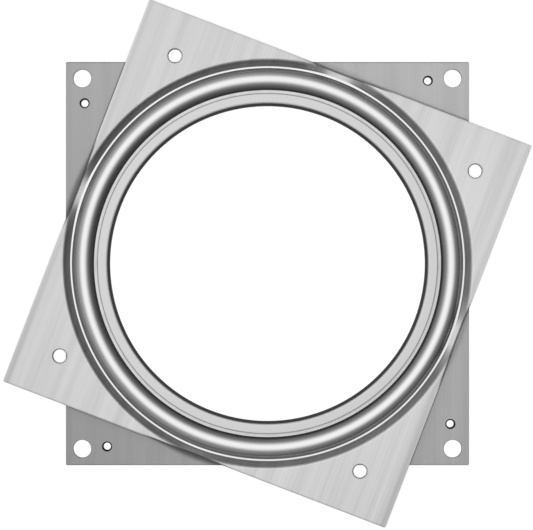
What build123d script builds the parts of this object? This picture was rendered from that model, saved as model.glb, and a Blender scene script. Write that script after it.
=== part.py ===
"""Square lazy susan bearing: two pressed steel plates that turn on loose balls.

The origin is on the swivel axis, in the mounting plane of the lower plate, and +Z is up. Both plates come
from the same press form: corner pads on the mounting face, a step to a level floor, and a round bead that
is the ball track. The lower plate's inner rim is folded over the upper plate's flange and holds the two
together.
"""

import os
from math import acos, atan2, degrees, hypot, sqrt, tan

from build123d import *

# Plates, in millimetres and degrees
plate_side = 152.4
corner_radius = 0.6
sheet = 1.2
bend_radius = 0.45  # inside of each bend
floor_gap = 0.74  # running gap between the two floors
upper_turn = -21.0  # how far the upper plate stands turned over the lower one

# Balls and the bead that is their track
ball_diameter = 4.76
ball_count = 48
ball_clearance = 0.1  # above and below each ball
track_inset = 7.15  # from the middle of a side to the balls' pitch circle
bead_half_width = 4.08  # on the floor's outer face
bead_foot_radius = 0.3
bead_recess = 0.29  # from the mounting face to the bead's crest

# Step from the floor to the corner pads
level_width = 0.42  # floor between the bends of the bead and the step
step_run = 2.15
runout_sides = (0, 90, 180)  # the floor runs out through the middle of these, and the fourth side has its whole step
runout_width = 9.0  # of the floor at the plate's edge, between the feet of the step
runout_radius = 10.0  # of the curve that leads the foot of the step out to the edge
trim_allowance = 16.0  # the plate is pressed this much larger all round, and trimmed to its side

# Central opening and the folded rim
rim_width = 10.0  # from the balls' pitch circle to the opening
hem_gap = 1.62  # from the hem's raw edge to the bead
hem_clearance = 0.25  # between the hem and the flange under it
flange_clearance = 0.4  # between the flange's edge and the rim's wall

# Screw holes, each inset measured from the plate's edge
upper_hole_diameter = 4.9
upper_hole_inset = 16.3
access_hole_diameter = 6.75
access_hole_inset = 6.2
pilot_hole_diameter = 2.7
pilot_sink_width = 0.55  # of the sloped rim round the hole
pilot_near_inset = 7.1  # the pilot holes lie off the diagonals, all turned the same way
pilot_far_inset = 15.6

# Heights above a plate's mounting face
mid_height = bead_recess + sheet + ball_clearance + ball_diameter / 2
floor_outer = mid_height - floor_gap / 2 - sheet
floor_inner = floor_outer + sheet
hem_inner = mid_height + floor_gap / 2 + sheet + hem_clearance
hem_outer = hem_inner + sheet

# Section of the bead: an arc across the track and a small bend at each foot
track_radius = plate_side / 2 - track_inset
bead_rise = floor_outer - bead_recess
bead_radius = (bead_half_width**2 + bead_rise**2) / (2 * bead_rise)
bead_center = bead_recess + bead_radius
foot_drop = bead_center - floor_outer + bead_foot_radius
foot_reach = sqrt((bead_radius + bead_foot_radius) ** 2 - foot_drop**2)

# Section of the step, and where it leaves its circle to flare out through the plate's edge
step_slope = atan2(floor_outer, step_run)
level_start = track_radius + foot_reach
ring_radius = level_start + level_width / 2  # where the bead's ring joins the square
step_foot = level_start + level_width + bend_radius * tan(step_slope / 2)
step_top = step_foot + step_run
step_shift = sheet * tan(step_slope / 2)
flare_reach = step_foot + runout_radius
edge_reach = hypot(runout_width, plate_side) / 2
flare_turn = acos((flare_reach**2 + edge_reach**2 - runout_radius**2) / (2 * flare_reach * edge_reach))
flare_angle = degrees(atan2(runout_width, plate_side) + flare_turn)

# Rim
opening_radius = track_radius - rim_width
hem_edge = track_radius - bead_half_width - hem_gap
flange_edge = opening_radius + sheet + flange_clearance


def step_outline(radius, height):
    """Plan of the step: a circle that flares out through the middle of the run-out sides."""
    flare = flare_reach - radius
    following_sides = (*runout_sides[1:], runout_sides[0] + 360)
    with BuildSketch(Plane.XY.offset(height)) as outline:
        with BuildLine():
            for side, following in zip(runout_sides, following_sides):
                CenterArc((0, 0), radius, side + flare_angle, following - side - 2 * flare_angle)
                after = Vector(flare_reach, 0).rotate(Axis.Z, side + flare_angle)
                before = Vector(flare_reach, 0).rotate(Axis.Z, side - flare_angle)
                outwards = Vector(2 * trim_allowance, 0).rotate(Axis.Z, side)
                start = CenterArc(after, flare, side + 180 + flare_angle, 90 - flare_angle) @ 1
                end = CenterArc(before, flare, side + 90, 90 - flare_angle) @ 0
                Polyline(start, start + outwards, end + outwards, end)
        make_face()
    return outline.sketch


def stepped_square():
    """The square with its corner pads, step and floor, and a round hole for the bead's ring."""
    draft = 90 - degrees(step_slope)
    slack = sheet / 100  # for picking edges by their height
    pressed_side = plate_side + 2 * trim_allowance

    def on_step(edge):
        middle = edge.center()
        return max(abs(middle.X), abs(middle.Y)) < pressed_side / 2 - slack

    with BuildPart() as square:
        extrude(step_outline(step_top + step_shift, sheet), amount=floor_outer, taper=draft)
        with BuildSketch() as blank:
            Rectangle(pressed_side, pressed_side)
        extrude(amount=floor_inner, mode=Mode.INTERSECT)
        extrude(blank.sketch, amount=sheet)
        extrude(step_outline(step_top, 0), amount=floor_outer, taper=draft, mode=Mode.SUBTRACT)
        for height, radius in (
            (0, bend_radius + sheet),
            (floor_outer, bend_radius),
            (sheet, bend_radius),
            (floor_inner, bend_radius + sheet),
        ):
            level = square.edges().filter_by_position(Axis.Z, height - slack, height + slack)
            fillet(level.filter_by(on_step), radius)
        Hole(ring_radius)
        with BuildSketch():
            RectangleRounded(plate_side, plate_side, corner_radius)
        extrude(amount=floor_inner, mode=Mode.INTERSECT)
    return square.part


def bead_face(depth):
    """One face of the sheet, depth inside the outer one, from the ring's edge to the bead's inner foot."""
    level = floor_outer + depth
    share = (bead_radius - depth) / (bead_radius + bead_foot_radius)
    side = foot_reach * share
    low = bead_center - foot_drop * share
    crest = bead_recess + depth
    outer_foot, inner_foot = level_start, track_radius - foot_reach
    Line((ring_radius, level), (outer_foot, level))
    TangentArc((outer_foot, level), (track_radius + side, low), tangent=(-1, 0))
    ThreePointArc((track_radius + side, low), (track_radius, crest), (track_radius - side, low))
    TangentArc((inner_foot, level), (track_radius - side, low), tangent=(1, 0))
    return inner_foot, level


# Lower plate: its rim rises from the floor and folds outwards over the upper plate's flange
with BuildPart() as lower_plate:
    add(stepped_square())
    with BuildSketch(Plane.XZ):
        with BuildLine():
            Line((ring_radius, floor_outer), (ring_radius, floor_inner))
            FilletPolyline(
                bead_face(0),
                (opening_radius, floor_outer),
                (opening_radius, hem_outer),
                (hem_edge, hem_outer),
                radius=bend_radius + sheet,
            )
            FilletPolyline(
                bead_face(sheet),
                (opening_radius + sheet, floor_inner),
                (opening_radius + sheet, hem_inner),
                (hem_edge, hem_inner),
                radius=bend_radius,
            )
            Line((hem_edge, hem_inner), (hem_edge, hem_outer))
        make_face()
    revolve(axis=Axis.Z)
    access_spacing = plate_side - 2 * access_hole_inset
    with GridLocations(access_spacing, access_spacing, 2, 2):
        Hole(access_hole_diameter / 2)
    pilot_near = plate_side / 2 - pilot_far_inset
    pilot_far = plate_side / 2 - pilot_near_inset
    pilot_angle = degrees(atan2(pilot_far, pilot_near))
    with Locations(Plane.XY.offset(sheet)):
        with PolarLocations(hypot(pilot_near, pilot_far), 4, start_angle=pilot_angle):
            CounterSinkHole(pilot_hole_diameter / 2, pilot_hole_diameter / 2 + pilot_sink_width)

# Upper plate: made the same way up, then turned over about the mid-plane between the two tracks
with BuildPart() as upper_plate:
    add(stepped_square())
    with BuildSketch(Plane.XZ):
        with BuildLine():
            Line((ring_radius, floor_outer), (ring_radius, floor_inner))
            Polyline(bead_face(0), (flange_edge, floor_outer), (flange_edge, floor_inner), bead_face(sheet))
        make_face()
    revolve(axis=Axis.Z)
    upper_spacing = plate_side - 2 * upper_hole_inset
    with GridLocations(upper_spacing, upper_spacing, 2, 2):
        Hole(upper_hole_diameter / 2)
    mirror(about=Plane.XY.offset(mid_height), mode=Mode.REPLACE)

os.makedirs("parts", exist_ok=True)

lower_plate.part.label = "lower_plate"
export_step(lower_plate.part, "parts/lower_plate.step")

turned_plate = upper_plate.part.rotate(Axis.Z, upper_turn)
turned_plate.label = "upper_plate"
export_step(turned_plate, "parts/upper_plate.step")

# Balls, evenly spread round the track midway between the two plates
for number, place in enumerate(PolarLocations(track_radius, ball_count), 1):
    with BuildPart(Plane.XY.offset(mid_height) * place) as ball:
        Sphere(ball_diameter / 2)
    ball.part.label = f"ball_{number:02d}"
    export_step(ball.part, f"parts/{ball.part.label}.step")
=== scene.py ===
import math

import bmesh
import bpy
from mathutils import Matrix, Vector


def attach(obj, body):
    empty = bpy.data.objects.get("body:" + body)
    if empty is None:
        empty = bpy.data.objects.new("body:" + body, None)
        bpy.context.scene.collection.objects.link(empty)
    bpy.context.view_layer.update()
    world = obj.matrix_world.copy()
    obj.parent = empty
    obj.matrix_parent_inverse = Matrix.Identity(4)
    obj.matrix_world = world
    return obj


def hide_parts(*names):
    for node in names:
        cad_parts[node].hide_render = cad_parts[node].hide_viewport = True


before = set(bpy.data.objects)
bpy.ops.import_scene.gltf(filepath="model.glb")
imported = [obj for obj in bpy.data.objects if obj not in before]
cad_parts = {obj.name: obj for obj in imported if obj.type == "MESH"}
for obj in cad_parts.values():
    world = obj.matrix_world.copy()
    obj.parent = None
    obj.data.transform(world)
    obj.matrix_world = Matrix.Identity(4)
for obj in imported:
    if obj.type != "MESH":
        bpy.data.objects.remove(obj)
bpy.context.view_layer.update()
print("frame loaded,", len(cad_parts), "nodes")

mm = 0.001
weldGap = 2e-6  # metres
ringRow, stepRow, edgeRow = 0, 1, 2  # how a row of the section follows the plate's outline
rowLabels = ("kind", "inset", "lift", "face", "roll", "floor")  # what each row carries besides its place

pressing = {  # form shared by both plates, in mm and degrees
    "side": 152.4,
    "cornerRadius": 0.6,
    "sheet": 1.2,
    "bend": 0.45,
    "floorGap": 0.74,
    "upperTurn": -21,
    "ball": 4.76,
    "ballClearance": 0.1,
    "trackInset": 7.15,
    "beadHalf": 4.08,
    "beadFootShade": 0.3,
    "beadRecess": 0.29,
    "level": 0.42,
    "levelPast": 0.02,  # the run-outs start this far along the level floor
    "stepRun": 2.15,
    "runout": (-4.0, 17.0),  # the step rises to its height between these angles from a side's middle
    "runoutRound": 5.0,  # its lowest stretch is rounded over this angle
    "runoutStretch": 0.3,  # how much of that is a wider step, the rest is a lower one
    "plainSide": 3,  # the side with its whole step, counted from +x
    "plainRise": 0.66,  # share of the slope there
    "rimWidth": 10.0,
    "hemGap": 1.62,
    "hemClearance": 0.25,
    "flangeClearance": 0.4,
    "pilotNear": 7.1,  # insets of the small holes from two sides
    "pilotFar": 15.6,
    "edgeRound": 0.1,  # broken edge all round
    "edgeSteps": 3,
    "spokes": 480,
    "runoutSpokes": range(2, 13),
    "cornerSpokes": (0.05, 0.1, 0.15, 0.19, 0.2265, 0.3),  # extra ones each side of a corner, degrees
    "beadSteps": 22,
    "foldSteps": 8,
    "innerFoldSteps": 4,
    "bendSteps": 5,
    "supportGap": 0.06,  # rows that keep the flats flat beside a bend
    "supportFrom": 8,  # a run gets them from this many gaps on
}

half = pressing["side"] / 2
sheet = pressing["sheet"]
bend = pressing["bend"]
midHeight = pressing["beadRecess"] + sheet + pressing["ballClearance"] + pressing["ball"] / 2
floorOuter = midHeight - pressing["floorGap"] / 2 - sheet
floorInner = floorOuter + sheet
hemInner = midHeight + pressing["floorGap"] / 2 + sheet + pressing["hemClearance"]
hemOuter = hemInner + sheet
trackRadius = half - pressing["trackInset"]
beadRise = floorOuter - pressing["beadRecess"]
beadRadius = (pressing["beadHalf"] ** 2 + beadRise**2) / (2 * beadRise)
beadCenter = pressing["beadRecess"] + beadRadius
footCenter = floorOuter - pressing["beadFootShade"]
footReach = math.sqrt((beadRadius + pressing["beadFootShade"]) ** 2 - (beadCenter - footCenter) ** 2)
footAngle = math.atan2(footReach, beadCenter - footCenter)
stepSlope = math.atan2(floorOuter, pressing["stepRun"])
levelStart = trackRadius + footReach
stepFoot = levelStart + pressing["level"] + bend * math.tan(stepSlope / 2)
stepTop = stepFoot + pressing["stepRun"]
stepShift = sheet * math.tan(stepSlope / 2)
openingRadius = trackRadius - pressing["rimWidth"]
hemEdge = trackRadius - pressing["beadHalf"] - pressing["hemGap"]
flangeEdge = openingRadius + sheet + pressing["flangeClearance"]
padReach = 1.6 * half  # the section's pad runs past the corners, and the outline trims it
pilotX, pilotY = half - pressing["pilotFar"], half - pressing["pilotNear"]
pilotCircle = math.hypot(pilotX, pilotY)


def arcRows(x, z, radius, start, end, steps):
    angles = [math.radians(start + (end - start) * i / steps) for i in range(steps + 1)]
    return [(x + radius * math.cos(a), z + radius * math.sin(a)) for a in angles]


def bendRows(before, corner, after, radius, steps):
    corner = Vector(corner)
    toBefore = (Vector(before) - corner).normalized()
    toAfter = (Vector(after) - corner).normalized()
    halfAngle = toBefore.angle(toAfter) / 2
    center = corner + (toBefore + toAfter).normalized() * (radius / math.sin(halfAngle))
    spans = [corner + way * (radius / math.tan(halfAngle)) - center for way in (toBefore, toAfter)]
    start, end = (math.degrees(math.atan2(span.y, span.x)) for span in spans)
    end = start + (end - start + 180) % 360 - 180
    return arcRows(center.x, center.y, radius, start, end, steps)


def beadRows(depth):  # from the inner foot across the bead to the outer foot
    foot, tilt = pressing["beadFootShade"] + depth, math.degrees(footAngle)
    steps, crownSteps = pressing["bendSteps"], pressing["beadSteps"]
    inner = arcRows(trackRadius - footReach, footCenter, foot, 90, 90 - tilt, steps)
    crown = arcRows(trackRadius, beadCenter, beadRadius - depth, -90 - tilt, -90 + tilt, crownSteps)
    outer = arcRows(trackRadius + footReach, footCenter, foot, 90 + tilt, 90, steps)
    return inner + crown[1:-1] + outer


def stepRows(depth):  # from the level floor down the step to the pad
    shift = stepShift if depth else 0
    level, pad = floorOuter + depth, depth
    foot, top = (stepFoot + shift, level), (stepTop + shift, pad)
    radii = (bend + sheet, bend) if depth else (bend, bend + sheet)
    rows = bendRows((levelStart, level), foot, top, radii[0], pressing["bendSteps"])
    return rows + bendRows(foot, top, (padReach, pad), radii[1], pressing["bendSteps"] + 1)


def foldRows(wall, top, floor, radius, steps):  # from the hem over the rim's wall and down to the floor
    rows = bendRows((hemEdge, top), (wall, top), (wall, floor), radius, steps)
    return rows + bendRows((wall, top), (wall, floor), (trackRadius, floor), radius, steps)


def supported(points):
    gap = pressing["supportGap"]
    out = [points[0]]
    for here, there in zip(points, points[1:]):
        run = Vector(there) - Vector(here)
        if run.length > pressing["supportFrom"] * gap:
            aside = run.normalized() * gap
            out += [tuple(Vector(here) + aside), tuple(Vector(there) - aside)]
        out.append(there)
    return out


def edgeArc():  # broken edge: distance in from the edge, and down from the face
    size, steps = pressing["edgeRound"], pressing["edgeSteps"]
    turns = [math.pi / 2 * i / steps for i in range(steps + 1)]
    return [(size * (1 - math.sin(t)), size * (1 - math.cos(t))) for t in turns]


def rawEdge(x, way):  # broken inner edge, from its wall to its face: place, and depth under the face
    return [(x + way * drop, inset) for inset, drop in edgeArc()]


def faceRows(depth, innerPart, rollInsets):
    # one face of the sheet from the inner rim to the trimmed edge: rho, z and what rowLabels names
    face = 1 if depth else -1
    clip = (rollInsets or [pressing["edgeRound"] + pressing["supportGap"]])[0] * mm
    ring = supported(innerPart + beadRows(depth))
    step = supported([ring[-1]] + stepRows(depth))[1:]
    step.append((step[-1][0] + pressing["supportGap"], depth))
    floor = (floorOuter + depth) * mm
    rows = [(x, z, ringRow, 0, 0, face, 0, floor) for x, z in ring]
    rows += [(x, z, stepRow, clip, 0, face, 0, floor) for x, z in step]
    rolled = 1 if rollInsets else 0
    rim = [(d, 0) for d in rollInsets or [clip / mm]] + edgeArc()
    for inset, drop in rim:
        rows.append((padReach, depth - face * drop, edgeRow, inset * mm, drop * mm, face, rolled, floor))
    return rows


def turnOver(row):
    x, z, kind, inset, lift, face, roll, floor = row
    return (x, 2 * midHeight - z, kind, inset, lift, -face, roll, 2 * midHeight * mm - floor)


def closedSection(name, innerEnds, rollInsets, turnedOver):
    outer = faceRows(0, innerEnds[0], rollInsets if turnedOver else None)
    inner = faceRows(sheet, innerEnds[1], None if turnedOver else rollInsets)
    rows = outer + inner[::-1]
    if turnedOver:
        rows = [turnOver(row) for row in rows][::-1]
    links = [(i, (i + 1) % len(rows)) for i in range(len(rows))]
    mesh = bpy.data.meshes.new(name)
    mesh.from_pydata([(row[0] * mm, 0, row[1] * mm) for row in rows], links, [])
    for column, label in enumerate(rowLabels, 2):
        layer = mesh.attributes.new(label, "FLOAT", "POINT")
        layer.data.foreach_set("value", [float(row[column]) for row in rows])
    return mesh


def addObject(name, data):
    obj = bpy.data.objects.new(name, data)
    bpy.context.scene.collection.objects.link(obj)
    return obj


def addNode(tree, kind, links=None, **settings):
    node = tree.nodes.new(kind)
    for key, value in settings.items():
        setattr(node, key, value)
    for key, value in (links or {}).items():
        if isinstance(value, bpy.types.NodeSocket):
            tree.links.new(value, node.inputs[key])
        else:
            node.inputs[key].default_value = value
    return node


def made(tree, kind, links=None, **settings):  # a new node's first output
    return addNode(tree, kind, links, **settings).outputs[0]


def calc(tree, operation, *values):
    return made(tree, "ShaderNodeMath", dict(enumerate(values)), operation=operation)


def times(tree, first, *others):
    for other in others:
        first = calc(tree, "MULTIPLY", first, other)
    return first


def offFrom(tree, value, middle):
    return calc(tree, "ABSOLUTE", calc(tree, "SUBTRACT", value, middle))


def addSocket(tree, name, kind, way="INPUT"):
    return tree.interface.new_socket(name, in_out=way, socket_type="NodeSocket" + kind)


def sampleRow(tree, geometry, value, index, kind="FLOAT"):
    links = {"Geometry": geometry, "Value": value, "Index": index}
    return made(tree, "GeometryNodeSampleIndex", links, data_type=kind)


def xyz(tree, vector):
    return addNode(tree, "ShaderNodeSeparateXYZ", {0: vector}).outputs


def joinXyz(tree, x, y, z):
    return made(tree, "ShaderNodeCombineXYZ", {0: x, 1: y, 2: z})


def ramp(tree, value, low, high, toLow=0.0, toHigh=1.0, kind="SMOOTHSTEP"):
    links = {"Value": value, "From Min": low, "From Max": high, "To Min": toLow, "To Max": toHigh}
    return made(tree, "ShaderNodeMapRange", links, interpolation_type=kind)


def blendTone(tree, share, first, second):
    return made(tree, "ShaderNodeMix", {0: share, 2: first, 3: second})


def objectShape(tree, socket):
    return addNode(tree, "GeometryNodeObjectInfo", {"Object": socket}).outputs["Geometry"]


def finishTree(tree, geometry, finish=None):  # instances made real, and the finish set
    done = made(tree, "GeometryNodeRealizeInstances", {"Geometry": geometry})
    if finish is not None:
        done = made(tree, "GeometryNodeSetMaterial", {"Geometry": done, "Material": finish})
    tree.links.new(done, tree.nodes.new("NodeGroupOutput").inputs[0])
    return tree


def startTree(name, sockets):
    tree = bpy.data.node_groups.new(name, "GeometryNodeTree")
    addSocket(tree, "Geometry", "Geometry", "OUTPUT")
    for label, kind in sockets:
        addSocket(tree, label, kind)
    return tree, tree.nodes.new("NodeGroupInput").outputs


def pressedSheetTree():
    sockets = (
        ("Section", "Geometry"),
        ("Spokes", "Object"),
        ("Half Side", "Float"),
        ("Corner Radius", "Float"),
        ("Runout Start", "Float"),
        ("Runout End", "Float"),
        ("Runout Round", "Float"),
        ("Runout Stretch", "Float"),
        ("Plain Side", "Int"),
        ("Plain Rise", "Float"),
        ("Level Radius", "Float"),
        ("Slit Start", "Float"),
        ("Slit End", "Float"),
        ("Slit Drop", "Float"),
        ("Shear Start", "Float"),
        ("Shear End", "Float"),
        ("Shear Drop", "Float"),
        ("Turn", "Float"),
        ("Punches", "Object"),
        ("Small Punches", "Object"),
        ("Finish", "Material"),
    )
    tree, inputs = startTree("pressedSheet", sockets)
    section, halfSide, cornerRadius = inputs["Section"], inputs["Half Side"], inputs["Corner Radius"]

    spokes = objectShape(tree, inputs["Spokes"])
    rowCount = made(tree, "GeometryNodeAttributeDomainSize", {0: section})
    spokeCount = made(tree, "GeometryNodeAttributeDomainSize", {0: spokes})
    rowsMore, spokesMore = calc(tree, "ADD", rowCount, 1), calc(tree, "ADD", spokeCount, 1)
    grid = made(tree, "GeometryNodeMeshGrid", {"Vertices X": spokesMore, "Vertices Y": rowsMore})

    # each vertex finds its row of the section and its spoke
    index = made(tree, "GeometryNodeInputIndex")
    spokeIndex = calc(tree, "FLOOR", calc(tree, "DIVIDE", calc(tree, "ADD", index, 0.5), rowsMore))
    rowIndex = calc(tree, "SUBTRACT", index, times(tree, spokeIndex, rowsMore))
    row = calc(tree, "MODULO", rowIndex, rowCount)
    spoke = calc(tree, "MODULO", spokeIndex, spokeCount)
    position = made(tree, "GeometryNodeInputPosition")
    rho, _, height = xyz(tree, sampleRow(tree, section, position, row, "FLOAT_VECTOR"))
    angle = xyz(tree, sampleRow(tree, spokes, position, spoke, "FLOAT_VECTOR"))[0]
    named = {}
    for label in rowLabels:
        field = made(tree, "GeometryNodeInputNamedAttribute", {"Name": label}, data_type="FLOAT")
        named[label] = sampleRow(tree, section, field, row)

    # outline of the square along the spoke, with its rounded corners
    quarter = calc(tree, "MODULO", angle, math.pi / 2)
    fromMiddle = calc(tree, "SUBTRACT", math.pi / 4, offFrom(tree, quarter, math.pi / 4))
    cosMiddle, sinMiddle = calc(tree, "COSINE", fromMiddle), calc(tree, "SINE", fromMiddle)
    insetHalf = calc(tree, "SUBTRACT", halfSide, named["inset"])
    straight = calc(tree, "DIVIDE", insetHalf, cosMiddle)
    cornerCenter = calc(tree, "SUBTRACT", halfSide, cornerRadius)
    innerRadius = calc(tree, "SUBTRACT", cornerRadius, named["inset"])
    along = times(tree, cornerCenter, calc(tree, "ADD", cosMiddle, sinMiddle))
    across = times(tree, cornerCenter, calc(tree, "SUBTRACT", cosMiddle, sinMiddle))
    bow = calc(tree, "SUBTRACT", calc(tree, "POWER", innerRadius, 2), calc(tree, "POWER", across, 2))
    rounded = calc(tree, "ADD", along, calc(tree, "SQRT", calc(tree, "MAXIMUM", bow, 0)))
    inCorner = calc(tree, "GREATER_THAN", times(tree, straight, sinMiddle), cornerCenter)
    limit = blendTone(tree, inCorner, straight, rounded)

    # the step widens and lowers towards the middle of each side but the plain one, where the floor runs out
    turns = calc(tree, "DIVIDE", calc(tree, "ADD", angle, math.pi / 4), math.pi / 2)
    sideNumber = calc(tree, "FLOOR", turns)
    plain = calc(tree, "COMPARE", calc(tree, "MODULO", sideNumber, 4), inputs["Plain Side"], 0.1)
    aside = calc(tree, "SUBTRACT", angle, times(tree, sideNumber, math.pi / 2))
    aside = calc(tree, "SMOOTH_MAX", aside, times(tree, aside, -1), inputs["Runout Round"])
    rise = ramp(tree, aside, inputs["Runout Start"], inputs["Runout End"])
    plainRise = ramp(tree, aside, inputs["Runout Start"], inputs["Runout End"], inputs["Plain Rise"], 1)
    rise = blendTone(tree, plain, rise, plainRise)
    rise = calc(tree, "MAXIMUM", rise, 0.001)  # never quite flat, so the section can be read back
    stretch = calc(tree, "POWER", rise, inputs["Runout Stretch"])
    fall = calc(tree, "DIVIDE", rise, stretch)
    level = inputs["Level Radius"]
    pastLevel = calc(tree, "SUBTRACT", rho, level)
    ranOut = calc(tree, "ADD", level, calc(tree, "DIVIDE", pastLevel, stretch))
    isRing = calc(tree, "LESS_THAN", named["kind"], (ringRow + stepRow) / 2)
    isEdge = calc(tree, "GREATER_THAN", named["kind"], (stepRow + edgeRow) / 2)
    trimmed = calc(tree, "MAXIMUM", isEdge, calc(tree, "GREATER_THAN", ranOut, limit))
    outerRadius = blendTone(tree, trimmed, ranOut, limit)
    radius = blendTone(tree, isRing, outerRadius, rho)

    # height of the face where the outline trims it, read off the section itself by a ray from above or below
    sideways = joinXyz(tree, 0, 1, 0)
    strip = made(tree, "GeometryNodeExtrudeMesh", {"Mesh": section, "Offset": sideways}, mode="EDGES")
    sectionRho = calc(tree, "MULTIPLY_ADD", calc(tree, "SUBTRACT", radius, level), stretch, level)
    rayLinks = {
        "Target Geometry": strip,
        "Source Position": joinXyz(tree, sectionRho, 0.5, named["face"]),
        "Ray Direction": joinXyz(tree, 0, 0, times(tree, named["face"], -1)),
        "Ray Length": 3,
    }
    ray = addNode(tree, "GeometryNodeRaycast", rayLinks)
    hitHeight = xyz(tree, ray.outputs["Hit Position"])[2]
    x = times(tree, radius, calc(tree, "COSINE", angle))
    y = times(tree, radius, calc(tree, "SINE", angle))

    # rolled-over edges: wide along the slit sides, narrow along the sheared ones
    drops = []
    for reach, label in ((x, "Slit"), (y, "Shear")):
        fromEdge = calc(tree, "SUBTRACT", halfSide, calc(tree, "ABSOLUTE", reach))
        start, end, drop = (inputs[f"{label} {part}"] for part in ("Start", "End", "Drop"))
        drops.append(ramp(tree, fromEdge, start, end, 0, drop))
    rolled = times(tree, calc(tree, "MAXIMUM", *drops), named["roll"])
    sunk = times(tree, calc(tree, "ADD", rolled, named["lift"]), named["face"])
    z = blendTone(tree, trimmed, height, hitHeight)
    lowered = calc(tree, "MULTIPLY_ADD", calc(tree, "SUBTRACT", z, named["floor"]), fall, named["floor"])
    lowered = calc(tree, "SUBTRACT", lowered, times(tree, sunk, trimmed))
    z = blendTone(tree, isRing, lowered, height)

    places = {"Geometry": grid, "Position": joinXyz(tree, x, y, z)}
    placed = made(tree, "GeometryNodeSetPosition", places)
    shell = made(tree, "GeometryNodeMergeByDistance", {"Geometry": placed, "Distance": weldGap})
    cut = {"operation": "DIFFERENCE", "solver": "MANIFOLD"}
    punched = addNode(tree, "GeometryNodeMeshBoolean", {"Mesh 1": shell}, **cut)
    for label in ("Punches", "Small Punches"):
        tree.links.new(objectShape(tree, inputs[label]), punched.inputs["Mesh 2"])
    turn = {"Geometry": punched.outputs[0], "Rotation": joinXyz(tree, 0, 0, inputs["Turn"])}
    turned = made(tree, "GeometryNodeTransform", turn)
    smooth = made(tree, "GeometryNodeSetShadeSmooth", {"Geometry": turned})
    return finishTree(tree, smooth, inputs["Finish"])


def punchTree():
    sockets = (("Section", "Geometry"), ("Facets", "Int"), ("Circle", "Float"), ("Phase", "Float"))
    tree, inputs = startTree("punchSet", sockets)
    rowCount = made(tree, "GeometryNodeAttributeDomainSize", {0: inputs["Section"]})
    facetsMore = calc(tree, "ADD", inputs["Facets"], 1)
    grid = made(tree, "GeometryNodeMeshGrid", {"Vertices X": facetsMore, "Vertices Y": rowCount})
    index = made(tree, "GeometryNodeInputIndex")
    facet = calc(tree, "FLOOR", calc(tree, "DIVIDE", calc(tree, "ADD", index, 0.5), rowCount))
    row = calc(tree, "SUBTRACT", index, times(tree, facet, rowCount))
    position = made(tree, "GeometryNodeInputPosition")
    rho, _, z = xyz(tree, sampleRow(tree, inputs["Section"], position, row, "FLOAT_VECTOR"))
    angle = calc(tree, "DIVIDE", times(tree, facet, math.tau), inputs["Facets"])
    x = times(tree, rho, calc(tree, "COSINE", angle))
    y = times(tree, rho, calc(tree, "SINE", angle))
    spun = made(tree, "GeometryNodeSetPosition", {"Geometry": grid, "Position": joinXyz(tree, x, y, z)})
    punch = made(tree, "GeometryNodeMergeByDistance", {"Geometry": spun, "Distance": weldGap})
    circle = made(tree, "GeometryNodeMeshCircle", {"Vertices": 4, "Radius": inputs["Circle"]})
    turn = {"Geometry": circle, "Rotation": joinXyz(tree, 0, 0, inputs["Phase"])}
    turned = made(tree, "GeometryNodeTransform", turn)
    fourOff = made(tree, "GeometryNodeInstanceOnPoints", {"Points": turned, "Instance": punch})
    return finishTree(tree, fourOff)


def runNodes(name, mesh, tree, values):
    # the tree's result as a plain mesh object; the source object goes
    source = addObject(name + "Source", mesh)
    modifier = source.modifiers.new("nodes", "NODES")
    modifier.node_group = tree
    for item in tree.interface.items_tree:
        if item.in_out == "INPUT" and item.name in values:
            modifier[item.identifier] = values[item.name]
    result = bpy.data.meshes.new_from_object(source.evaluated_get(bpy.context.evaluated_depsgraph_get()))
    source.modifiers.remove(modifier)
    bpy.data.objects.remove(source)
    result.name = name
    return addObject(name, result)


punchShape = {  # in mm and degrees
    "spare": 1.0,  # length past both faces
    "overlap": 0.02,
    "sinkLip": 0.03,
    "collar": 0.06,  # how much wider the punch is above the face
    "flareTurn": 75,
    "flareSteps": 6,
}


def punchMesh(name, hole):
    # hole: radius, flare or sink (width and depth) at the face it shows on, the heights of both faces
    top, bottom, radius = hole["top"], hole["bottom"], hole["radius"]
    spare, overlap, steps = punchShape["spare"], punchShape["overlap"], punchShape["flareSteps"]
    rows = [(0, bottom - spare), (radius, bottom - spare), (radius, bottom + overlap)]
    if "sink" in hole:
        wide, deep = hole["sink"]
        rows += [(radius, top - deep), (radius + wide, top - punchShape["sinkLip"])]
    else:
        wide, deep = hole["flare"]
        for step in range(steps + 1):
            turn = math.radians(punchShape["flareTurn"] * step / steps)
            rows.append((radius + wide * (1 - math.cos(turn)), top - deep * (1 - math.sin(turn))))
    collar = rows[-1][0] + punchShape["collar"]
    rows += [(collar, top + overlap), (collar, top + spare), (0, top + spare)]
    links = [(i, i + 1) for i in range(len(rows) - 1)]
    mesh = bpy.data.meshes.new(name)
    mesh.from_pydata([(x * mm, 0, z * mm) for x, z in rows], links, [])
    return mesh


sheetTree, holeTree = pressedSheetTree(), punchTree()

# spokes of the sweep: even all round, closer at the four corners and the run-outs
angles = {math.tau * i / pressing["spokes"] for i in range(pressing["spokes"])}
for corner in (45, 135, 225, 315):
    for off in pressing["cornerSpokes"]:
        angles |= {math.radians(corner + off), math.radians(corner - off)}
for side in range(4):
    if side != pressing["plainSide"]:
        for i in pressing["runoutSpokes"]:
            off = math.tau * (i + 0.5) / pressing["spokes"]
            angles |= {(side * math.pi / 2 + off) % math.tau, (side * math.pi / 2 - off) % math.tau}
spokeMesh = bpy.data.meshes.new("spokes")
spokeMesh.from_pydata([(a, 0, 0) for a in sorted(angles)], [], [])
spokeObject = addObject("spokes", spokeMesh)

creases = {"weld": 1e-6, "bend": 35, "rim": 8, "level": 0.99999, "padFrom": 2.5}  # metres, degrees and mm


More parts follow.
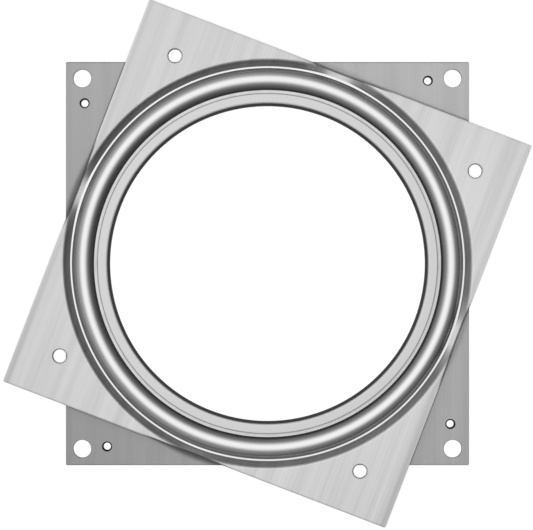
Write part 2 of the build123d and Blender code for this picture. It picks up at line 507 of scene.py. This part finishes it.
def pressPlate(name, plate, finish):
    mesh = closedSection(name + "Section", plate["innerEnds"], plate["rollInsets"], plate["turnedOver"])
    values = {
        "Spokes": spokeObject,
        "Half Side": half * mm,
        "Corner Radius": pressing["cornerRadius"] * mm,
        "Runout Start": math.radians(pressing["runout"][0]),
        "Runout End": math.radians(pressing["runout"][1]),
        "Runout Round": math.radians(pressing["runoutRound"]),
        "Runout Stretch": pressing["runoutStretch"],
        "Plain Side": pressing["plainSide"],
        "Plain Rise": pressing["plainRise"],
        "Level Radius": (levelStart + pressing["levelPast"]) * mm,
        "Turn": math.radians(plate["turn"]),
        "Finish": finish,
    }
    for label in ("Slit", "Shear"):
        for part, value in zip(("Start", "End", "Drop"), plate[label.lower() + "Roll"]):
            values[f"{label} {part}"] = value * mm
    punches = []
    for label, hole in plate["holes"].items():
        place = {"Facets": hole["facets"], "Circle": hole["circle"] * mm}
        place["Phase"] = math.radians(hole["phase"])
        punches.append(runNodes(name + label.replace(" ", ""), punchMesh(label, hole), holeTree, place))
        values[label] = punches[-1]
    obj = runNodes(name, mesh, sheetTree, values)
    for punch in punches:
        bpy.data.objects.remove(punch)
    shell = bmesh.new()
    shell.from_mesh(obj.data)
    bmesh.ops.remove_doubles(shell, verts=shell.verts, dist=creases["weld"])
    bmesh.ops.recalc_face_normals(shell, faces=shell.faces)
    openEdges = sum(1 for edge in shell.edges if not edge.is_manifold)
    volume = shell.calc_volume() / mm**3
    bendTurn, rimTurn = math.radians(creases["bend"]), math.radians(creases["rim"])
    for edge in shell.edges:  # creases: sharp bends, and where a hole's rim meets the flat pad
        turn = edge.calc_face_angle(0)
        flat = any(abs(face.normal.z) > creases["level"] for face in edge.link_faces)
        middle = (edge.verts[0].co + edge.verts[1].co) / 2
        onPad = middle.xy.length > (stepTop + creases["padFrom"]) * mm
        edge.smooth = turn < bendTurn and not (onPad and turn > rimTurn and flat)
    shell.to_mesh(obj.data)
    shell.free()
    for layer in list(obj.data.attributes):
        if layer.name in rowLabels:
            obj.data.attributes.remove(layer)
    triangles = sum(len(face.vertices) - 2 for face in obj.data.polygons)
    print(f"{name}: {triangles} triangles, {openEdges} open edges, {volume:.0f} mm3")
    return obj


def noiseAlong(tree, coords, sizes, detail=2.0, shift=0.0, rough=0.55):
    # streaks or grain whose features measure sizes, in mm; the shift sets one pattern off from another
    scale = tuple(1 / (size * mm) for size in sizes) + (1,)
    mapping = {"Vector": coords, "Scale": scale, "Location": (shift, shift * 0.7, 0)}
    place = made(tree, "ShaderNodeMapping", mapping)
    links = {"Vector": place, "Scale": 1, "Detail": detail, "Roughness": rough}
    noise = made(tree, "ShaderNodeTexNoise", links, noise_dimensions="2D")
    return calc(tree, "SUBTRACT", noise, 0.5)


zones = {  # where one finish, painted shade or painted highlight gives way to the next, each from none to full, in mm
    "bead": (4.6, 3.7),  # off the middle of the track
    "footNear": (1.8, 2.9),
    "footFar": (4.35, 4.1),
    "ring": (1.2, 0.4),  # past the start of the level floor
    "hem": (0.5, 0.2),  # past the hem's edge
    "fold": (60.7, 60.4),  # radius
    "levelPolishAndHighlight": (0.3, 0.5, 0.25),  # a strip's middle, then as above
    "bentDownShade": (0.65, 0.6, 0.35),
    "seamShadow": (0.2, 0.5, 0.2),
    "slit": (3.0, 1.5),  # in from a slit side
    "slitFront": (30, -60),  # along it
    "rimFade": 0.6,  # share of a rim's width
    "lipShadow": (0.6, 0.35),
    "lipShadowAlong": (19, 13),
    "lipShadowMiddle": 3,  # off the side's middle
    "sink": (2.6, 2.2),  # off the circle of the sinks
    "stepShadow": (3.8, 1.6),  # past the step's top
    "stepShadowHeight": (0.4, 1.0),
    "stepShadowLean": (90, -90, 0.25),  # along x + y, and the least share
    "steepShadeSlope": (34, 47),  # slopes in degrees
    "bentSlope": (8, 25),
    "bentDownShadeSlope": (5, 16),
    "foldUpright": (0.97, 0.82),  # slopes as the normal's height
    "lipShadowUpright": (0.2, 0.5),
}


# finishes: object coordinates in metres, turned into the plate's own directions
def zincFinish(name, look):
    material = bpy.data.materials.new(name)
    material.use_nodes = True
    tree = material.node_tree
    shader = tree.nodes["Principled BSDF"]
    coords = addNode(tree, "ShaderNodeTexCoord").outputs["Object"]
    turnBack = {"Vector": coords, "Rotation": (0, 0, -math.radians(look["turn"]))}
    own = made(tree, "ShaderNodeMapping", turnBack)
    x, y, z = xyz(tree, own)
    across = {0: joinXyz(tree, x, y, 0)}
    radius = addNode(tree, "ShaderNodeVectorMath", across, operation="LENGTH").outputs["Value"]
    normal = addNode(tree, "ShaderNodeNewGeometry").outputs["Normal"]
    upright = calc(tree, "ABSOLUTE", xyz(tree, normal)[2])
    fromTrack = offFrom(tree, radius, trackRadius * mm)

    def zone(value, key, base=0.0):
        start, end = zones[key]
        return ramp(tree, value, (base + start) * mm, (base + end) * mm)

    def strip(key, base):
        middle, start, end = zones[key]
        return ramp(tree, offFrom(tree, radius, (base + middle) * mm), start * mm, end * mm)

    def sloped(key):
        start, end = (math.cos(math.radians(angle)) for angle in zones[key])
        return ramp(tree, upright, start, end)

    def shaded(tone, share, shade):
        return times(tree, tone, blendTone(tree, share, 1.0, shade))

    # zones: tool-polished bead and hem, drawn metal on the steep parts, painted dark as shade, and the
    # fold's inside painted dark as shade
    bead = zone(fromTrack, "bead")
    ringZone = zone(radius, "ring", levelStart)
    hem = zone(radius, "hem", hemEdge)
    drawnAndShaded = sloped("steepShadeSlope")
    foldInsideShade = times(tree, zone(radius, "fold"), ramp(tree, upright, *zones["foldUpright"]))
    beadFootShade = times(tree, zone(fromTrack, "footNear"), zone(fromTrack, "footFar"))
    levelPolishAndHighlight = strip("levelPolishAndHighlight", levelStart)
    notSteep = calc(tree, "SUBTRACT", 1, drawnAndShaded)
    bentDownShade = times(tree, strip("bentDownShade", levelStart), notSteep, sloped("bentDownShadeSlope"))
    seamShadow = strip("seamShadow", hemEdge)

    # streaks from the rolling mill run along the plate's own y
    broad = noiseAlong(tree, own, look["broadStreaks"], 3, 4.7)
    fine = noiseAlong(tree, own, look["fineStreaks"], 3, 1.3)
    grain = noiseAlong(tree, own, look["grain"], 2, 8.1)
    turned = joinXyz(tree, radius, 0, 0)
    toolMarks = noiseAlong(tree, turned, (look["toolMarks"], 1), 3, 2.9)
    streaks = calc(tree, "ADD", times(tree, broad, look["broadDepth"]), times(tree, fine, look["fineDepth"]))
    grainWave = times(tree, grain, look["grainDepth"])
    flatWave = calc(tree, "ADD", streaks, grainWave)
    flatTone = calc(tree, "MULTIPLY_ADD", flatWave, look["tone"], look["tone"])
    # painted light and shade: the tone grows lighter towards one side
    lightSlantX, lightSlantY = look["lightSlant"]
    lightSlant = calc(tree, "ADD", times(tree, x, lightSlantX), times(tree, y, lightSlantY))
    flatTone = times(tree, flatTone, calc(tree, "ADD", lightSlant, 1))
    ringWave = times(tree, toolMarks, look["toolDepth"])
    beadTone = calc(tree, "MULTIPLY_ADD", ringWave, look["beadTone"], look["beadTone"])
    hemWave = calc(tree, "ADD", ringWave, grainWave)
    hemTone = calc(tree, "MULTIPLY_ADD", hemWave, look["hemTone"], look["hemTone"])
    # painted shade: the steep, drawn parts are darker in colour the steeper they are, with tool marks in it
    steepShadeDepth = look["steepShadeTone"] * look["steepShadeWave"]
    steepShadeTone = calc(tree, "MULTIPLY_ADD", toolMarks, steepShadeDepth, look["steepShadeTone"])
    tone = blendTone(tree, ringZone, flatTone, beadTone)
    tone = blendTone(tree, hem, tone, hemTone)
    tone = shaded(tone, drawnAndShaded, steepShadeTone)
    # painted shade in the creases at the bead's feet
    tone = shaded(tone, beadFootShade, look["footShadeTone"])
    # painted highlight: a lighter strip where the level floor starts, which is also polished
    tone = blendTone(tree, levelPolishAndHighlight, tone, look["levelHighlightTone"])
    # painted shade on the step's first bend
    tone = shaded(tone, bentDownShade, look["bentShadeTone"])
    # painted shadow on the flange beside the hem's edge
    tone = shaded(tone, seamShadow, look["seamShadowTone"])
    # painted shade: the fold's inside wall is near black in colour
    tone = blendTone(tree, foldInsideShade, tone, look["foldShadeTone"])

    # sides: painted shade along the slit ones, darker towards the plate's front; each side has a rim of
    # painted highlight or shade, and a painted shadow where the floor runs out
    fromSlit = calc(tree, "SUBTRACT", half * mm, calc(tree, "ABSOLUTE", x))
    tone = shaded(tone, times(tree, zone(fromSlit, "slit"), zone(y, "slitFront")), look["slitShade"])
    sides = zip((x, y, x, y), (y, x, y, x), (1, 1, -1, -1), (1, -1, -1, 1), look["rimLightAndShade"])
    for reach, along, sign, alongSign, (shade, wide) in sides:
        fromSide = calc(tree, "MULTIPLY_ADD", reach, -sign, half * mm)
        # painted highlight or shade on the rim
        tone = shaded(tone, ramp(tree, fromSide, wide * mm, zones["rimFade"] * wide * mm), shade)
        # painted shadow along the edge where the floor runs out
        fromLipShadow = calc(tree, "MULTIPLY_ADD", along, alongSign, zones["lipShadowMiddle"] * mm)
        lipShadow = times(tree, zone(fromSide, "lipShadow"), zone(calc(tree, "ABSOLUTE", fromLipShadow), "lipShadowAlong"))
        lipShadow = times(tree, lipShadow, ramp(tree, upright, *zones["lipShadowUpright"]))
        tone = shaded(tone, lipShadow, look["lipShade"])
    if "sinkShadeTone" in look:  # painted shade in the small holes' sinks
        fromSinks = offFrom(tree, radius, pilotCircle * mm)
        tone = shaded(tone, times(tree, drawnAndShaded, zone(fromSinks, "sink")), look["sinkShadeTone"])
    if "stepShadowTone" in look:  # and painted shadow on the upper face, beside the step, fainter along x + y
        start, end, least = zones["stepShadowLean"]
        lean = ramp(tree, calc(tree, "ADD", x, y), start * mm, end * mm, least, 1.0)
        stepShadow = times(tree, ramp(tree, radius, stepFoot * mm, stepTop * mm), zone(z, "stepShadowHeight"))
        stepShadow = times(tree, stepShadow, zone(radius, "stepShadow", stepTop), lean)
        tone = shaded(tone, stepShadow, look["stepShadowTone"])
    color = made(tree, "ShaderNodeCombineColor", {0: tone, 1: tone, 2: tone})
    tree.links.new(color, shader.inputs["Base Color"])

    streakRough = calc(tree, "ADD", fine, broad)
    rough = calc(tree, "MULTIPLY_ADD", streakRough, look["roughWave"], look["flatRough"])
    polished = calc(tree, "MULTIPLY_ADD", toolMarks, look["polishWave"], look["beadRough"])
    rough = blendTone(tree, hem, rough, look["hemRough"])
    rough = blendTone(tree, bead, rough, polished)
    rough = blendTone(tree, levelPolishAndHighlight, rough, look["beadRough"])
    rough = blendTone(tree, drawnAndShaded, rough, look["drawnRough"])
    rough = blendTone(tree, foldInsideShade, rough, look["foldRough"])
    tree.links.new(rough, shader.inputs["Roughness"])

    # level parts are a little dull, what is bent or pressed is bright, and the fold's inside, painted dark
    # as shade, is all dull
    metal = blendTone(tree, ringZone, look["flatMetal"], 1.0)
    metal = blendTone(tree, hem, metal, look["hemMetal"])
    metal = blendTone(tree, sloped("bentSlope"), metal, 1.0)
    tree.links.new(calc(tree, "SUBTRACT", metal, foldInsideShade), shader.inputs["Metallic"])

    flatRelief = calc(tree, "ADD", fine, times(tree, grain, look["reliefGrain"]))
    relief = blendTone(tree, ringZone, flatRelief, toolMarks)
    bump = {"Height": relief, "Strength": look["relief"], "Distance": look["reliefDepth"] * mm}
    tree.links.new(made(tree, "ShaderNodeBump", bump), shader.inputs["Normal"])
    return material


upperLook = {
    "turn": pressing["upperTurn"],
    "tone": 0.69,
    "beadTone": 0.765,
    "hemTone": 0.69,
    "steepShadeTone": 0.64,
    "steepShadeWave": 0.6,
    "foldShadeTone": 0.03,
    "foldRough": 0.8,
    "footShadeTone": 0.58,
    "levelHighlightTone": 0.8,
    "bentShadeTone": 0.55,  # painted shade on the step's first bend, beside the level floor
    "seamShadowTone": 0.55,
    "flatMetal": 0.75,
    "hemMetal": 0.75,
    "flatRough": 0.42,
    "roughWave": 0.12,
    "hemRough": 0.42,
    "beadRough": 0.24,
    "polishWave": 0.06,
    "drawnRough": 0.36,
    "broadStreaks": (5.0, 160.0),
    "broadDepth": 0.5,
    "fineStreaks": (0.9, 60.0),
    "fineDepth": 0.22,
    "grain": (0.5, 0.6),
    "grainDepth": 0.05,
    "toolMarks": 0.22,
    "toolDepth": 0.1,
    "lightSlant": (0.5, -0.1),  # painted light: change of tone per metre along x and y
    "slitShade": 0.82,
    "rimLightAndShade": ((1.0, 0.8), (1.0, 0.5), (1.07, 0.8), (0.76, 0.4)),  # painted highlight or shade, and width, along +x, +y, -x and -y
    "lipShade": 0.24,  # painted shadow at the edge where the floor runs out
    "relief": 0.15,
    "reliefGrain": 0.5,
    "reliefDepth": 0.02,
}
lowerLook = dict(
    upperLook,
    turn=0,
    # painted shade: the pads are darker in colour than the hem and the upper plate's pads
    tone=0.36,
    flatMetal=0.2,  # dull beside the upper plate
    flatRough=0.55,
    broadDepth=0.24,
    fineDepth=0.14,
    seamShadowTone=1.0,
    lightSlant=(1.4, 1.6),
    slitShade=0.95,
    lipShade=1.0,
    rimLightAndShade=((1.0, 0.5), (0.74, 0.5), (1.0, 0.5), (0.92, 0.5)),
    stepShadowTone=0.3,
    sinkShadeTone=0.42,
)
upperZinc = zincFinish("upperZinc", upperLook)
lowerZinc = zincFinish("lowerZinc", lowerLook)

ballLook = {"tone": 0.7, "rough": 0.13, "wear": 0.08, "wearSize": (0.8, 0.8)}
ballSteel = bpy.data.materials.new("ballSteel")
ballSteel.use_nodes = True
tree = ballSteel.node_tree
ballShader = tree.nodes["Principled BSDF"]
ballShader.inputs["Metallic"].default_value = 1
ballShader.inputs["Base Color"].default_value = (ballLook["tone"],) * 3 + (1,)
ballCoords = addNode(tree, "ShaderNodeTexCoord").outputs["Object"]
ballWear = noiseAlong(tree, ballCoords, ballLook["wearSize"], 4, 3.3)
ballRough = calc(tree, "MULTIPLY_ADD", ballWear, ballLook["wear"], ballLook["rough"])
tree.links.new(ballRough, ballShader.inputs["Roughness"])
print("finishes made")

# lower plate: the rim is folded up and out over the upper plate's flange
outerWall, innerWall = openingRadius, openingRadius + sheet
hemCorner = rawEdge(hemEdge, -1)
lowerPlate = {
    "turn": 0,
    "turnedOver": False,
    "innerEnds": (
        [(x, hemOuter - drop) for x, drop in hemCorner]
        + foldRows(outerWall, hemOuter, floorOuter, bend + sheet, pressing["foldSteps"]),
        [(x, hemInner + drop) for x, drop in hemCorner]
        + foldRows(innerWall, hemInner, floorInner, bend, pressing["innerFoldSteps"]),
    ),
    "rollInsets": [2.95, 2.5, 2.05, 1.65, 1.3, 0.95, 0.65, 0.45, 0.3, 0.18],
    "slitRoll": (2.8, -1.2, 0.2),  # fall of the edge: from here, to here, and how deep
    "shearRoll": (0.6, 0.0, 0.12),
    "holes": {
        "Punches": {
            "radius": 6.75 / 2,
            "flare": (0.22, 0.16),
            "top": sheet,
            "bottom": 0,
            "facets": 72,
            "circle": math.sqrt(2) * (half - 6.2),
            "phase": 45,
        },
        "Small Punches": {
            "radius": 2.7 / 2,
            "sink": (0.55, 0.633),
            "top": sheet,
            "bottom": 0,
            "facets": 48,
            "circle": pilotCircle,
            "phase": math.degrees(math.atan2(pilotY, pilotX)),
        },
    },
}
lowerPiece = pressPlate("lowerPlatePressing", lowerPlate, lowerZinc)

# upper plate: the same pressing turned over, with a plain flange
flangeCorner = rawEdge(flangeEdge, 1)
upperTop = 2 * midHeight
upperPlate = {
    "turn": pressing["upperTurn"],
    "turnedOver": True,
    "innerEnds": (
        [(x, floorOuter + drop) for x, drop in flangeCorner],
        [(x, floorInner - drop) for x, drop in flangeCorner],
    ),
    "rollInsets": [2.15, 1.95, 1.7, 1.45, 1.2, 0.95, 0.7, 0.5, 0.35, 0.18],
    "slitRoll": (2.1, 0.45, 0.05),
    "shearRoll": (0.6, 0.0, 0.05),
    "holes": {
        "Punches": {
            "radius": 4.9 / 2,
            "flare": (0.6, 0.38),
            "top": upperTop,
            "bottom": upperTop - sheet,
            "facets": 64,
            "circle": math.sqrt(2) * (half - 16.3),
            "phase": 45,
        },
    },
}
upperPiece = pressPlate("upperPlatePressing", upperPlate, upperZinc)
bpy.data.objects.remove(spokeObject)

ballSet = {"count": 48, "radius": pressing["ball"] / 2, "segments": 32, "rings": 20}


def ballTree():
    sockets = (
        ("Track", "Geometry"),
        ("Count", "Int"),
        ("Track Radius", "Float"),
        ("Ball Radius", "Float"),
        ("Height", "Float"),
        ("Finish", "Material"),
    )
    tree, inputs = startTree("ballRing", sockets)
    track = {"Vertices": inputs["Count"], "Radius": inputs["Track Radius"]}
    circle = made(tree, "GeometryNodeMeshCircle", track)
    lift = {"Geometry": circle, "Translation": joinXyz(tree, 0, 0, inputs["Height"])}
    lifted = made(tree, "GeometryNodeTransform", lift)
    sphere = {"Segments": ballSet["segments"], "Rings": ballSet["rings"], "Radius": inputs["Ball Radius"]}
    ball = made(tree, "GeometryNodeMeshUVSphere", sphere)
    balls = made(tree, "GeometryNodeInstanceOnPoints", {"Points": lifted, "Instance": ball})
    smooth = made(tree, "GeometryNodeSetShadeSmooth", {"Geometry": balls})
    return finishTree(tree, smooth, inputs["Finish"])


ballValues = {
    "Count": ballSet["count"],
    "Track Radius": trackRadius * mm,
    "Ball Radius": ballSet["radius"] * mm,
    "Height": midHeight * mm,
    "Finish": ballSteel,
}
ballPiece = runNodes("ballSet", bpy.data.meshes.new("track"), ballTree(), ballValues)
print("balls made:", ballSet["count"])

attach(lowerPiece, "base")
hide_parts("lower_plate")
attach(upperPiece, "turntable")
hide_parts("upper_plate")
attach(ballPiece, "ball_ring")
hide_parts(*[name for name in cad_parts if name.startswith("ball_")])

# floor: white to the camera and in reflections, and it keeps a trace of the shadow
floorSettings = {"size": 30.0, "drop": 0.05, "glow": 0.83, "paint": 0.2}
floorMesh = bpy.data.meshes.new("floor")
reach, under = floorSettings["size"] / 2, -floorSettings["drop"] * mm
corners = [(-reach, -reach, under), (reach, -reach, under), (reach, reach, under), (-reach, reach, under)]
floorMesh.from_pydata(corners, [], [(0, 1, 2, 3)])
floor = addObject("floor", floorMesh)
floorPaint = bpy.data.materials.new("floorPaint")
floorPaint.use_nodes = True
tree = floorPaint.node_tree
tree.nodes.clear()
seen = addNode(tree, "ShaderNodeLightPath").outputs
shown = calc(tree, "MAXIMUM", seen["Is Camera Ray"], seen["Is Glossy Ray"])
shown = calc(tree, "MAXIMUM", shown, seen["Is Transmission Ray"])
strength = times(tree, shown, floorSettings["glow"])
glow = made(tree, "ShaderNodeEmission", {"Color": (1, 1, 1, 1), "Strength": strength})
paint = made(tree, "ShaderNodeBsdfDiffuse", {"Color": (floorSettings["paint"],) * 3 + (1,)})
both = made(tree, "ShaderNodeAddShader", {0: glow, 1: paint})
addNode(tree, "ShaderNodeOutputMaterial", {"Surface": both})
floorMesh.materials.append(floorPaint)
print("floor laid")

# studio: one soft box overhead, leaning a little, and dim walls, lighter on one side
studio = {
    "box": 0.9,
    "full": 10,  # the box is even to this angle from its middle, and fades out to the next
    "gone": 42,
    "lean": 5,
    "leanTo": 115,
    "wallHigh": 0.31,
    "wallLow": 0.16,
    "wallTop": 0.8,  # height of the direction in which the wall is lightest
    "wallSide": 0.6,  # how much lighter the wall is on one side
    "wallTo": 155,
}
world = bpy.data.worlds.new("studio")
bpy.context.scene.world = world
world.use_nodes = True
tree = world.node_tree
way = addNode(tree, "ShaderNodeTexCoord").outputs["Generated"]


def facing(direction):
    links = {0: way, 1: direction}
    return addNode(tree, "ShaderNodeVectorMath", links, operation="DOT_PRODUCT").outputs["Value"]


lean, leanTo, wallTo = (math.radians(studio[key]) for key in ("lean", "leanTo", "wallTo"))
boxWay = (math.sin(lean) * math.cos(leanTo), math.sin(lean) * math.sin(leanTo), math.cos(lean))
offBox = calc(tree, "ARCCOSINE", calc(tree, "MINIMUM", facing(boxWay), 1))
gone, full = math.radians(studio["gone"]), math.radians(studio["full"])
boxLight = ramp(tree, offBox, gone, full, 0, studio["box"])
upward = xyz(tree, way)[2]
wallLight = ramp(tree, upward, 0, studio["wallTop"], studio["wallLow"], studio["wallHigh"], "LINEAR")
facingSide = facing((math.cos(wallTo), math.sin(wallTo), 0))
wallLight = times(tree, wallLight, calc(tree, "MULTIPLY_ADD", facingSide, studio["wallSide"], 1))
tree.links.new(calc(tree, "ADD", boxLight, wallLight), tree.nodes["Background"].inputs["Color"])

# a narrow lamp over the middle lights what is dull, and casts the upper plate's shadow on the lower one
lampSettings = {
    "y": -10,
    "height": 355,
    "width": 15,
    "length": 60,
    "turn": pressing["upperTurn"],
    "power": 1.03,
}
lampData = bpy.data.lights.new("lamp", "AREA")
lampData.shape = "ELLIPSE"
lampData.size, lampData.size_y = lampSettings["width"] * mm, lampSettings["length"] * mm
lampData.energy = lampSettings["power"]
lamp = addObject("lamp", lampData)
lamp.location = (0, lampSettings["y"] * mm, lampSettings["height"] * mm)
lamp.rotation_euler = (0, 0, math.radians(lampSettings["turn"]))
lamp.visible_camera = lamp.visible_glossy = False
print("studio lit")

# camera straight above, its lens and place fitted to a 533 by 530 picture
view = {"x": -0.37, "y": -0.53, "height": 461, "lens": 82.2, "sensor": 36}
cameraData = bpy.data.cameras.new("camera")
cameraData.lens = view["lens"]
cameraData.sensor_width = view["sensor"]
cameraData.sensor_fit = "HORIZONTAL"
cameraData.clip_start, cameraData.clip_end = 0.01, 100
camera = addObject("camera", cameraData)
camera.location = (view["x"] * mm, view["y"] * mm, view["height"] * mm)
bpy.context.scene.camera = camera
bpy.context.scene.view_settings.view_transform = "Standard"
print("camera set")
